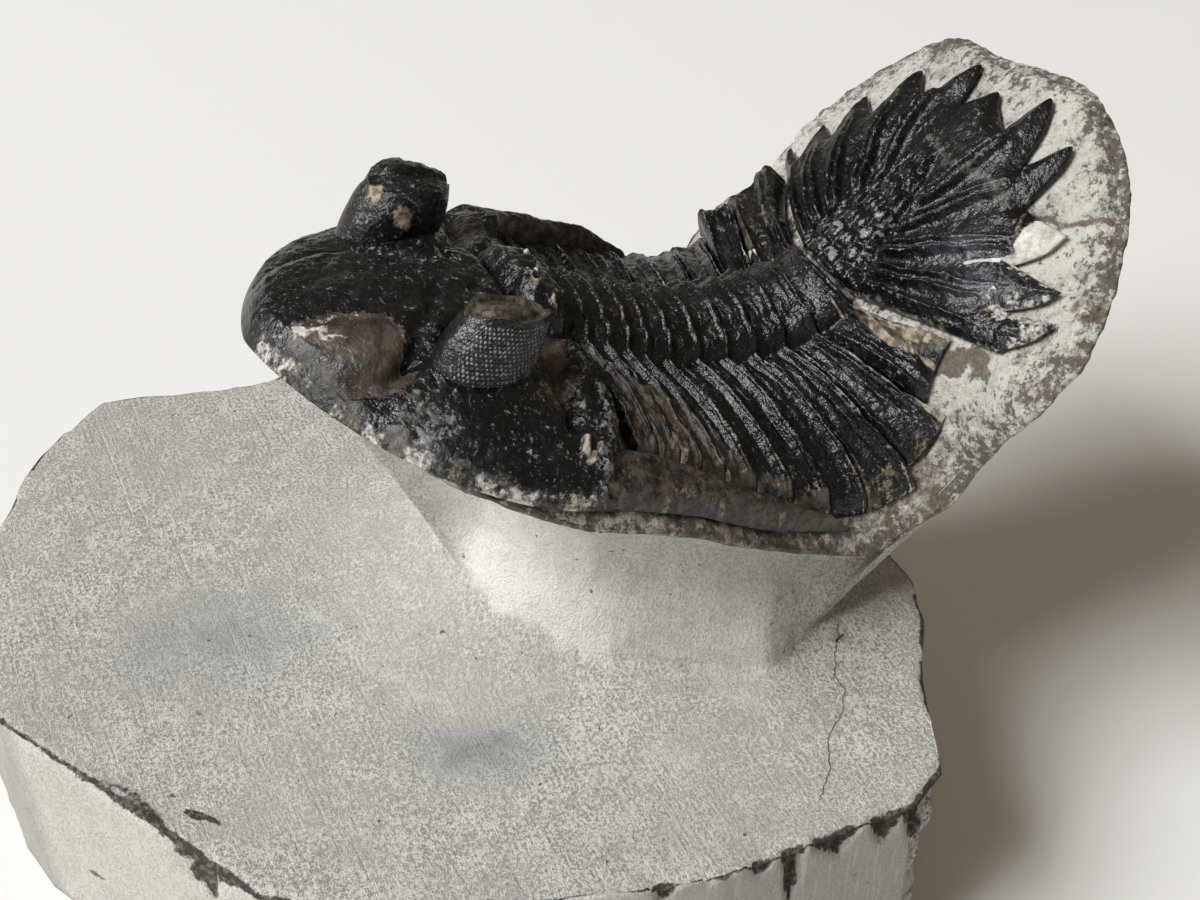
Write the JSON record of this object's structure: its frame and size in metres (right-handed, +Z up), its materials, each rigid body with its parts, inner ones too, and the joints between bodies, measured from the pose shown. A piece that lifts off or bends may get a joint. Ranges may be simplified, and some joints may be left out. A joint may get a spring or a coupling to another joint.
{
  "type": "fossil trilobite on matrix block",
  "caption": "Prepared Hollardops trilobite, black shell with ringed thorax and spined tail raised off a pale limestone block on its own neck of rock.",
  "frame": {"origin": "middle of the block's flat, sawn underside", "axes": "+X runs along the animal from head to tail, +Y is the animal's right-hand side and +Z is up, away from the surface that the block stands on"},
  "size_m": [0.0807, 0.0638, 0.05],
  "materials": {
    "shell": "black calcified shell with a satin gloss",
    "rock": "matt pale grey limestone, sawn and tool-marked"
  },
  "bodies": {
    "root": {"cephalon": "shell", "thorax_segment_01": "shell", "thorax_segment_02": "shell", "thorax_segment_03": "shell", "thorax_segment_04": "shell", "thorax_segment_05": "shell", "thorax_segment_06": "shell", "thorax_segment_07": "shell", "thorax_segment_08": "shell", "thorax_segment_09": "shell", "thorax_segment_10": "shell", "thorax_segment_11": "shell", "pygidium": "shell", "matrix": "rock"}
  },
  "joints": []
}
